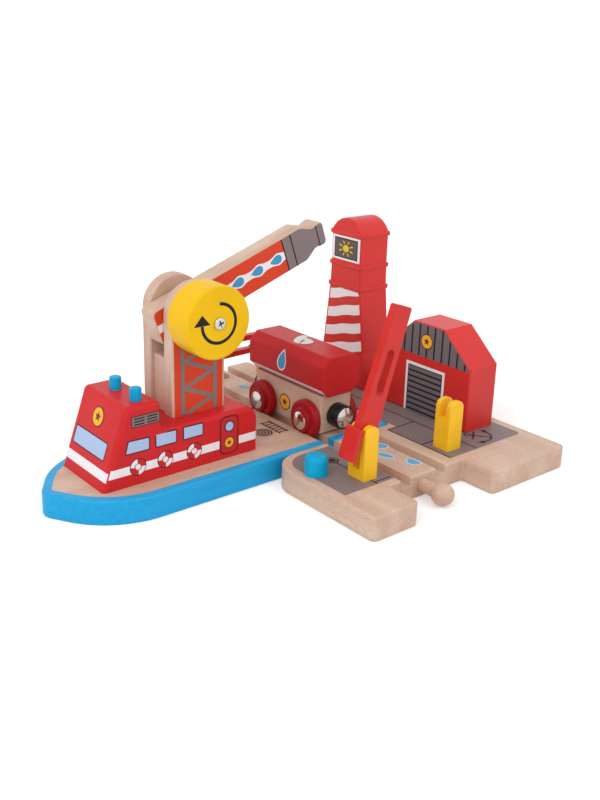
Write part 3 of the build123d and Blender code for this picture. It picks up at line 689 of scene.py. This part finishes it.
printed(bm, "gable_boards", house_front, slate_ink)
bm = bmesh.new()
roof_run = house_half - ridge_right
for step in range(-5, 6):
    u = step * gable_pitch + gable_shift
    steep = max(0.0, abs(u) - ridge_right + margin) / roof_run
    top = ridge - ridge_margin - steep * (ridge - eaves)
    if abs(u) < house_half - margin:
        bar(bm, u - gable_line / 2, gable_low, u + gable_line / 2, top)
printed(bm, "gable_seams", house_front, black_ink, 2)
badge("gable_badge", house_front, -1.0, 46.2, 4.7)

# Lighthouse: the same kind of block, sawn and moulded to a tower with rings and a
# domed lantern, sprayed red, with slanting white stripes and a lit window printed.
dress(red_lacquer, "lighthouse")
pane_ink = ink("dark_grey_screen_ink", "#5C5552", "Z")
lamp_ink = ink("lamp_yellow_screen_ink", "#E9C325", "Z")
light_low, light_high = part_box("lighthouse")
light_y = (light_low.y + light_high.y) / 2
light_front = face_at(Vector((house_low.x, light_y, light_low.z)), -AWAY, UP)
stripe_first = 20.6
stripe_pitch = 12.2
stripe_width = 6.5
stripe_rise = 0.26
stripe_wave = 0.3
stripe_ripple = 0.32
tower_top = 62.4
foot_half = 17.6
top_half = 12.9
foot_height = 25.0


def stripe_edge(u, height):
    """Height of a stripe's slanting, slightly wavy edge at a distance from the middle."""
    return height + stripe_rise * u + stripe_wave * math.sin(u * stripe_ripple + height)


bm = bmesh.new()
for row in range(4):
    low = stripe_first + row * stripe_pitch
    high = low + stripe_width
    made = bmesh.ops.create_grid(bm, x_segments=24, y_segments=1, size=1.0)["verts"]
    for corner in made:
        height = low if corner.co.y < 0 else high
        share = (height - foot_height) / (tower_top - foot_height)
        half = foot_half + share * (top_half - foot_half)
        u = corner.co.x * half
        corner.co = Vector((u, min(stripe_edge(u, height), tower_top), 0))
printed(bm, "lighthouse_stripes", light_front, white_ink)
window_low = 80.6
window_high = 95.8
window_half = 12.6
black_inset = (2.0, 1.3)
pane_inset = (2.6, 1.9)
lamp_radius = 2.2
lamp_wide = 1.25
ray_count = 8
ray_near = 3.0
ray_far = 5.0
ray_wide = 1.35
ray_line = 0.8
bm = bmesh.new()
bar(bm, -window_half, window_low, window_half, window_high)
printed(bm, "lantern_window_frame", light_front, white_ink)
bm = bmesh.new()
bar(
    bm, black_inset[0] - window_half, window_low + black_inset[1],
    window_half - black_inset[0], window_high - black_inset[1],
)
printed(bm, "lantern_window_edge", light_front, black_ink, 2)
bm = bmesh.new()
bar(
    bm, pane_inset[0] - window_half, window_low + pane_inset[1],
    window_half - pane_inset[0], window_high - pane_inset[1],
)
printed(bm, "lantern_window_pane", light_front, pane_ink, 3)
lamp_height = (window_low + window_high) / 2
bm = bmesh.new()
disc(bm, 0, lamp_height, lamp_radius, lamp_wide)
middle = Vector((0, lamp_height))
for step in range(ray_count):
    angle = math.radians(360 / ray_count * (step + 0.5))
    near_end = middle + Vector((lamp_wide * math.cos(angle), math.sin(angle))) * ray_near
    far_end = middle + Vector((ray_wide * math.cos(angle), math.sin(angle))) * ray_far
    stroke(bm, near_end, far_end, ray_line)
printed(bm, "lantern_lamp", light_front, lamp_ink, 4)

# Screws under the boards and the tank, and the button's spring: steel with a thin bright
# zinc plating. They are countersunk, and the plating is finely brushed, so it glints softly.
bright_steel, tree = new_material("zinc_plated_steel")
brushes_per_mm = 2.5
where = add(tree, "TexCoord").outputs["Object"]
brushed = add(tree, "TexNoise", {"Vector": where, "Scale": brushes_per_mm / MM})
metal = add(tree, "BsdfPrincipled", {
    "Base Color": linear("#C4C3BE"), "Metallic": 1.0,
    "Roughness": ranged(tree, brushed.outputs["Fac"], 0.3, 0.7, 0.24, 0.4),
})
add(tree, "OutputMaterial", {"Surface": metal.outputs[0]})
dress(bright_steel, "station_screws", "cabin_screws", "tank_screws", "button_spring")

# Cabin block of the boat: a beech block sawn with a raked screen and a lower deck,
# sprayed red and printed on its side and its screen.
red_along_boat = lacquer("red_lacquer_cabin", "#D0282B", "#C62528", "X", sheen=0.14)
dress(red_along_boat, "cabin_block")
glass_ink = ink("window_blue_screen_ink", "#A9BEE0", "X")
maroon_ink = ink("maroon_screen_ink", "#57161B", "X")
cabin_low, cabin_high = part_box("cabin_block")
cabin_side = face_at(Vector((track_x, cabin_low.y, 0)), RIGHT, UP)
window_line = 0.7
window_round = 0.5
glass_round = 0.3
cabin_edge = 2.6
deck_edge = 36.4
screen_rise = Vector((14.3, 41.5)).normalized()
screen_left = (cabin_low.x - track_x) / MM
board_height = cabin_low.z / MM
# Each window's corners run round from its low left corner.
windows = [
    ((-131.9, 31.0), (-119.1, 30.9), (-119.0, 36.7), (-130.3, 37.0)),
    ((-114.7, 30.8), (-103.3, 30.8), (-103.2, 36.8), (-114.7, 37.1)),
    ((-98.4, 30.8), (-87.2, 30.9), (-87.2, 36.7), (-98.4, 36.9)),
]
for number, corners in enumerate(windows, start=1):
    low_left, low_right, high_right, high_left = corners
    line = window_line
    bm = bmesh.new()
    outline(bm, [
        (low_left[0] - line, low_left[1] - line), (low_right[0] + line, low_right[1] - line),
        (high_right[0] + line, high_right[1] + line), (high_left[0] - line, high_left[1] + line),
    ], window_round)
    glass = bmesh.new()
    outline(glass, corners, glass_round)
    if number > 1:
        drape(bm, (0, deck_edge), (0, 1), cabin_edge)
        drape(glass, (0, deck_edge), (0, 1), cabin_edge)
    printed(bm, f"cabin_window_{number}_line", cabin_side, maroon_ink)
    printed(glass, f"cabin_window_{number}", cabin_side, glass_ink, 2)

stripe_low = 19.7
stripe_high = 24.2
stripe_margin = 1.2
stern_margin = 1.0
door_gap = (0.4, 0.5)
door_span = (-76.1, -64.4)
door_height = (15.6, 37.2)
door_round = 3.4
stern = (cabin_high.x - track_x) / MM
ahead = (-screen_rise.y, screen_rise.x)
flat_start = Vector((screen_left, board_height)) - Vector(ahead) * cabin_edge
slant = screen_rise.x / screen_rise.y
bm = bmesh.new()
stripe_start = screen_left + stripe_margin - slant * board_height
outline(bm, [
    (stripe_start + slant * stripe_low, stripe_low), (door_span[0] - door_gap[0], stripe_low),
    (door_span[0] - door_gap[0], stripe_high), (stripe_start + slant * stripe_high, stripe_high),
])
bar(bm, door_span[1] + door_gap[1], stripe_low, stern - stern_margin, stripe_high)
drape(bm, flat_start, ahead, cabin_edge)
drape(bm, (stern - cabin_edge, 0), (1, 0), cabin_edge)
printed(bm, "cabin_side_stripe", cabin_side, white_ink)
bm = bmesh.new()
bar(bm, door_span[0], door_height[0], door_span[1], door_height[1], door_round)
drape(bm, (0, deck_edge), (0, 1), cabin_edge)
printed(bm, "cabin_door_line", cabin_side, maroon_ink, 2)
bm = bmesh.new()
inner_round = 2.8
bar(
    bm, door_span[0] + window_line, door_height[0] + window_line,
    door_span[1] - window_line, door_height[1] - window_line, inner_round,
)
red_ink = ink("red_screen_ink", "#C2252A", "X")
printed(bm, "cabin_door", cabin_side, red_ink, 3)
porthole = (-70.2, 31.2)
porthole_radius = 2.5
bm = bmesh.new()
disc(bm, *porthole, porthole_radius + window_line)
printed(bm, "porthole_ring", cabin_side, maroon_ink, 4)
bm = bmesh.new()
disc(bm, *porthole, porthole_radius)
printed(bm, "porthole_glass", cabin_side, glass_ink, 5)
door_ink = 0.12
badge("door_badge", cabin_side @ Matrix.Translation((0, 0, door_ink)), -70.3, 22.1, 3.2)

grille_left = -128.6
grille_low = 43.8
grille_right = -112.4
grille_high = 49.8
grille_line = 0.5
slot_spans = ((-127.1, -121.2), (-119.8, -113.8))
slot_low = 44.9
slot_pitch = 1.5
slot_width = 0.7
bm = bmesh.new()
bar(bm, grille_left, grille_low, grille_right, grille_high)
printed(bm, "grille_line", cabin_side, maroon_ink)
bm = bmesh.new()
bar(
    bm, grille_left + grille_line, grille_low + grille_line,
    grille_right - grille_line, grille_high - grille_line,
)
printed(bm, "grille_plate", cabin_side, grey_ink, 2)
bm = bmesh.new()
for left, right in slot_spans:
    for row in range(3):
        low = slot_low + slot_pitch * row
        bar(bm, left, low, right, low + slot_width)
printed(bm, "grille_slots", cabin_side, black_ink, 3)

buoy_radius = 4.7
buoy_height = 22.7
buoy_line = 0.45
buoy_places = (-125.5, -109.7, -92.3)
patch_radius = 3.15
patch_width = 2.2
patch_sweep = 82
hole_radius = 1.5
for number, u in enumerate(buoy_places, start=1):
    bm = bmesh.new()
    disc(bm, u, buoy_height, buoy_radius)
    printed(bm, f"lifebuoy_{number}_line", cabin_side, maroon_ink, 2)
    bm = bmesh.new()
    disc(bm, u, buoy_height, buoy_radius - buoy_line)
    printed(bm, f"lifebuoy_{number}_red", cabin_side, red_ink, 3)
    bm = bmesh.new()
    for start in (95, 275):
        arc(bm, u, buoy_height, patch_radius, patch_width, start, patch_sweep)
    disc(bm, u, buoy_height, hole_radius)
    printed(bm, f"lifebuoy_{number}_white", cabin_side, white_ink, 4)

screen_up = Vector((screen_rise.x, 0, screen_rise.y))
screen_face = face_at(Vector((cabin_low.x, (cabin_low.y + cabin_high.y) / 2, cabin_low.z)), -AWAY, screen_up)
screen_half = (cabin_high.y - cabin_low.y) / 2 / MM
glass_left = -16.9
glass_right = 13.9
glass_low = 14.8
glass_high = 23.2
screen_stripe_low = 5.4
screen_stripe_high = 10.2
screen_margin = 1.0
bm = bmesh.new()
bar(
    bm, glass_left - window_line, glass_low - window_line,
    glass_right + window_line, glass_high + window_line, 0.6,
)
printed(bm, "windscreen_line", screen_face, maroon_ink)
bm = bmesh.new()
bar(bm, glass_left, glass_low, glass_right, glass_high, 0.4)
printed(bm, "windscreen", screen_face, glass_ink, 2)
bm = bmesh.new()
bar(bm, screen_margin - screen_half, screen_stripe_low, screen_half - screen_margin, screen_stripe_high)
for side in (-1, 1):
    drape(bm, (side * (screen_half - cabin_edge), 0), (side, 0), cabin_edge)
printed(bm, "screen_stripe", screen_face, white_ink)
badge("screen_badge", screen_face, -0.4, 33.0, 5.4)

# Beacons: two beech dowels dipped in blue lacquer and pressed into the cabin roof. The
# dip runs smooth, so they are glossier than the sprayed blocks.
dip_blue = lacquer("dipped_blue_lacquer", "#0BA4D2", "#0999C8", roughness=0.2, sheen=0.12)
dress(dip_blue, "beacon_1", "beacon_2")

# Tower of the water cannon: two cheeks with round tops and a filler, of beech, glued
# upright on the lower deck. The front cheek carries a printed girder.
beech_upright = beech("beech_upright", "Z")
dress(beech_upright, "tower_front_cheek", "tower_filler", "tower_rear_cheek", "tower_dowels")
orange_ink = ink("orange_red_screen_ink", "#D5401F", "Z")
cheek_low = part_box("tower_front_cheek")[0]
cheek_face = face_at(Vector((track_x, cheek_low.y, 0)), RIGHT, UP)
cheek_left = (cheek_low.x - track_x) / MM
girder_left = cheek_left + 1.5
girder_right = cheek_left + 31.3
girder_low = cheek_low.z / MM + 0.1
girder_high = 92.0
post_left = (cheek_left + 5.4, cheek_left + 7.7)
post_right = (cheek_left + 25.2, cheek_left + 27.7)
post_overlap = 0.5
lattice_pitch = 7.3
lattice_start = 38.9
lattice_width = 2.3
lattice_bars = 7
bm = bmesh.new()
bar(bm, girder_left, girder_low, girder_right, girder_high)
printed(bm, "girder_red", cheek_face, orange_ink)
bm = bmesh.new()
for left, right in (post_left, post_right):
    bar(bm, left, girder_low, right, girder_high)
printed(bm, "girder_posts", cheek_face, grey_ink, 4)
ends = (post_left[1] - post_overlap, post_right[0] + post_overlap)
for first, layer in ((0, 2), (1, 3)):
    bm = bmesh.new()
    for step in range(first, lattice_bars, 2):
        low = lattice_start + lattice_pitch * step
        start, end = ends if first == 0 else ends[::-1]
        stroke(bm, (start, low), (end, low + lattice_pitch), lattice_width)
    bmesh.ops.bisect_plane(
        bm, geom=bm.verts[:] + bm.edges[:] + bm.faces[:], plane_co=(0, girder_low, 0),
        plane_no=(0, -1, 0), clear_outer=True,
    )
    printed(bm, f"girder_lattice_{layer}", cheek_face, grey_ink, layer)

# Water cannon: a flat beech arm, sawn with a shaped nozzle, fast on its shaft between
# the cheeks. Its front is printed red and grey, with a white band of water drops.
cannon_tilt = math.radians(19.7)
cannon_wood = beech("beech_cannon", "X")
dress(cannon_wood, "water_cannon", "cannon_shaft")
drop_ink = ink("blue_screen_ink", "#3E97C8", "X")
cannon_red = ink("cannon_red_screen_ink", "#D8401F", "X")
knob_low, knob_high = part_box("knob")
pivot = (knob_low + knob_high) / 2
cannon_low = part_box("water_cannon")[0]
cannon_along = Vector((math.cos(cannon_tilt), 0, math.sin(cannon_tilt)))
cannon_up = Vector((-math.sin(cannon_tilt), 0, math.cos(cannon_tilt)))
cannon_face = face_at(Vector((pivot.x, cannon_low.y, pivot.z)), cannon_along, cannon_up)
cannon_tail = -20.4
band_start = cannon_tail + 0.5
red_end = 65.8
tail_round = 2.6
body_low = -9.6
body_high = 9.3
drop_pitch = 13.45
drop_first = 32.6
drop_length = 8.3
drop_half = 2.75
drop_count = range(-3, 3)
drop_taper = 1.1
drop_fullness = 1.22
band_half = 2.1
band_steps = 110
swell_height = 1.35
swell_length = 3.1
bm = bmesh.new()
outline(bm, [
    (band_start, body_low), (red_end, body_low), (red_end, body_high), (band_start, body_high),
], tail_round, rounded=(0, 3))
printed(bm, "cannon_red_print", cannon_face, cannon_red, body="cannon")


def drop(bm, u, v, length, half_width, turn):
    """Flat water drop whose tip points along the turn, in degrees."""
    made = bmesh.ops.create_circle(bm, cap_ends=True, radius=1.0, segments=48)["verts"]
    for corner in made:
        angle = math.atan2(corner.co.y, corner.co.x)
        across = math.sin(angle) * abs(math.sin(angle / 2)) ** drop_taper
        corner.co = Vector((math.cos(angle) * length / 2, across * half_width * drop_fullness, 0))
    bmesh.ops.transform(
        bm, verts=made,
        matrix=Matrix.Translation((u, v, 0)) @ Matrix.Rotation(math.radians(turn), 4, "Z"),
    )


bm = bmesh.new()
made = bmesh.ops.create_grid(bm, x_segments=band_steps, y_segments=1, size=1.0)["verts"]
for corner in made:
    u = band_start + (corner.co.x + 1) / 2 * (red_end - band_start)
    side = 1 if corner.co.y > 0 else -1
    from_drop = min(abs(u - drop_first - 1.0 - drop_pitch * step) for step in drop_count)
    swell = swell_height * math.exp(-((from_drop / swell_length) ** 2))
    corner.co = Vector((u, side * (band_half + swell), 0))
printed(bm, "cannon_white_band", cannon_face, white_ink, 2, "cannon")
bm = bmesh.new()
for step in drop_count:
    drop(bm, drop_first - 0.6 + drop_pitch * step, 0, drop_length, drop_half, 180)
printed(bm, "cannon_drops", cannon_face, drop_ink, 3, "cannon")
nozzle = [(79.3, 9.5), (87.1, 5.3), (90.8, 6.2), (94.8, 6.2)]
nozzle_round = 1.9
nozzle_lines = [
    (red_end - 0.4, red_end + 0.4, body_low, body_high), (71.5, 72.3, body_low, body_high),
    (89.7, 90.4, -6.0, 6.0),
]
bm = bmesh.new()
outline(bm, [
    (red_end, body_low), *[(u, -half) for u, half in nozzle],
    *[(u, half) for u, half in reversed(nozzle)], (red_end, body_high),
], nozzle_round, rounded=range(1, 9))
printed(bm, "nozzle_grey_print", cannon_face, grey_ink, 2, "cannon")
bm = bmesh.new()
for left, right, low, high in nozzle_lines:
    bar(bm, left, low, right, high)
printed(bm, "nozzle_lines", cannon_face, black_ink, 3, "cannon")

# Knob: a thick turned disc, dipped in glossy yellow lacquer, with a turning arrow
# printed on its face. One screw through it holds it on the shaft; its recess is darkened with painted shade.
knob_yellow = lacquer("yellow_lacquer", "#EDBD1B", "#E7B617", "Y", roughness=0.3, sheen=0.08)
dress(knob_yellow, "knob")
knob_face = face_at(Vector((pivot.x, knob_low.y, pivot.z)), RIGHT, UP)
arrow_radius = 10.0
arrow_width = 1.7
arrow_start = 88
arrow_sweep = -268
head_half = 4.9
head_foot = 0.1
head_tip = 5.6
bm = bmesh.new()
arc(bm, 0, 0, arrow_radius, arrow_width, arrow_start, arrow_sweep)
outline(bm, [
    (-arrow_radius - head_half, head_foot), (-arrow_radius + head_half, head_foot), (-arrow_radius, head_tip),
])
printed(bm, "knob_arrow", knob_face, black_ink, 1, "cannon")

plated, tree = new_material("nickel_plated_steel")
smears_per_mm = 0.9
where = add(tree, "TexCoord").outputs["Object"]
fine = add(tree, "TexNoise", {"Vector": where, "Scale": smears_per_mm / MM})
metal = add(tree, "BsdfPrincipled", {
    "Base Color": linear("#D6D4CF"), "Metallic": 1.0,
    "Roughness": ranged(tree, fine.outputs["Fac"], 0.3, 0.7, 0.1, 0.2),
})
add(tree, "OutputMaterial", {"Surface": metal.outputs[0]})
dress(plated, "knob_screw")
screw_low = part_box("knob_screw")[0]
recess_depth = 0.9
recess_half = 0.43
recess_reach = 1.85
recess_floor = face_at(Vector((pivot.x, screw_low.y + recess_depth * MM, pivot.z)), RIGHT, UP)
# Painted shade: a black cross laid on the floor of the screw's cross recess, standing in for the shade inside
# it.
bm = bmesh.new()
bar(bm, -recess_half, -recess_reach, recess_half, recess_reach)
bar(bm, -recess_reach, -recess_half, -recess_half, recess_half)
bar(bm, recess_half, -recess_half, recess_reach, recess_half)
printed(bm, "screw_recess_shade", recess_floor, black_ink, 4, "cannon")

# Barriers: red arms moulded in ABS, each with two trunnions that snap into a yellow
# moulded fork; a second fork catches the arm. Moulded ABS is smooth, with a soft gloss.


def moulded(name, code, roughness):
    """Moulded ABS: one colour all through, very fine mould texture, soft gloss."""
    material, tree = new_material(name)
    where = add(tree, "TexCoord").outputs["Object"]
    spark = add(tree, "TexNoise", {"Vector": where, "Scale": 1 / (0.35 * MM), "Detail": 2.0})
    flow = add(tree, "TexNoise", {"Vector": where, "Scale": 1 / (18 * MM), "Detail": 1.0})
    bump = add(tree, "Bump", {"Height": spark.outputs["Fac"], "Distance": 0.01 * MM, "Strength": 0.6})
    darker = [part * 0.93 for part in linear(code)[:3]]
    colour = mixed(tree, ranged(tree, flow.outputs["Fac"], 0.35, 0.65), linear(code), (*darker, 1.0))
    shader = add(tree, "BsdfPrincipled", {
        "Base Color": colour, "Roughness": roughness, "Specular IOR Level": 0.3, "Normal": bump.outputs[0],
    })
    add(tree, "OutputMaterial", {"Surface": shader.outputs[0]})
    return material


red_abs = moulded("red_abs", "#CE2A26", 0.32)
yellow_abs = moulded("yellow_abs", "#F8C120", 0.36)
black_abs = moulded("black_abs", "#1A1A1C", 0.3)
dress(red_abs, "front_barrier_arm", "rear_barrier_arm")
dress(yellow_abs, "front_pivot_post", "front_rest_post", "rear_pivot_post", "rear_rest_post")

# Push button: a beech dowel cap dipped in the same glossy blue lacquer as the beacons.
# It sits on a spring, and a moulded retainer under the board holds it in.
dress(dip_blue, "button_cap")
dress(black_abs, "button_retainer")

# Tank wagon: a beech chassis with a printed badge, and a red eight-sided tank with a
# white line and a water drop on each side. A plated tack stands for the hatch.
dress(beech_along_track, "wagon_chassis")
tank_red = lacquer("red_lacquer_tank", "#BE2527", "#B42124", "Y", roughness=0.3, sheen=0.12)
dress(tank_red, "tank")
dress(plated, "hatch_tack")
tank_low, tank_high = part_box("tank")
chassis_low, chassis_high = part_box("wagon_chassis")
wagon_y = (tank_low.y + tank_high.y) / 2
tank_half = (tank_high.y - tank_low.y) / 2 / MM
tank_chamfer = 5.0
line_low = -5.0
line_high = -0.4
line_margin = 0.8
drop_middle = -2.0
drop_turn = 72
chassis_badge = (-1.9, 23.6, 5.0)
for side, x, outward in (("left", tank_low.x, -AWAY), ("right", tank_high.x, AWAY)):
    tank_side = face_at(Vector((x, wagon_y, 0)), outward, UP)
    slope_up = (outward.cross(UP) + UP).normalized()
    tank_slope = face_at(Vector((x, wagon_y, tank_low.z + tank_chamfer * MM)), outward, slope_up)
    bm = bmesh.new()
    bar(bm, line_margin - tank_half, line_low, tank_half - line_margin, line_high)
    printed(bm, f"tank_line_{side}", tank_slope, white_ink, 1, "wagon")
    bm = bmesh.new()
    drop(bm, drop_middle, 50.3, 14.4, 4.1, drop_turn)
    printed(bm, f"tank_drop_edge_{side}", tank_side, white_ink, 1, "wagon")
    bm = bmesh.new()
    drop(bm, drop_middle, 50.1, 12.2, 3.3, drop_turn)
    printed(bm, f"tank_drop_{side}", tank_side, drop_ink, 2, "wagon")
    chassis_x = chassis_low.x if side == "left" else chassis_high.x
    chassis_side = face_at(Vector((chassis_x, wagon_y, 0)), outward, UP)
    badge(f"chassis_badge_{side}", chassis_side, *chassis_badge, "wagon")

# Wheels: turned beech discs, dipped dark red, pressed on steel axles and closed with
# domed plated caps. The couplings are black cups with plated magnets.
wheel_red = lacquer("dark_red_lacquer", "#A9181D", "#9D161A", "X", roughness=0.28, sheen=0.15)
for end in ("front", "rear"):
    for side in ("left", "right"):
        dress(wheel_red, f"{end}_{side}_wheel")
    dress(plated, f"{end}_hub_caps", f"{end}_axle", f"{end}_coupling_magnet")
    dress(black_abs, f"{end}_coupling_housing")
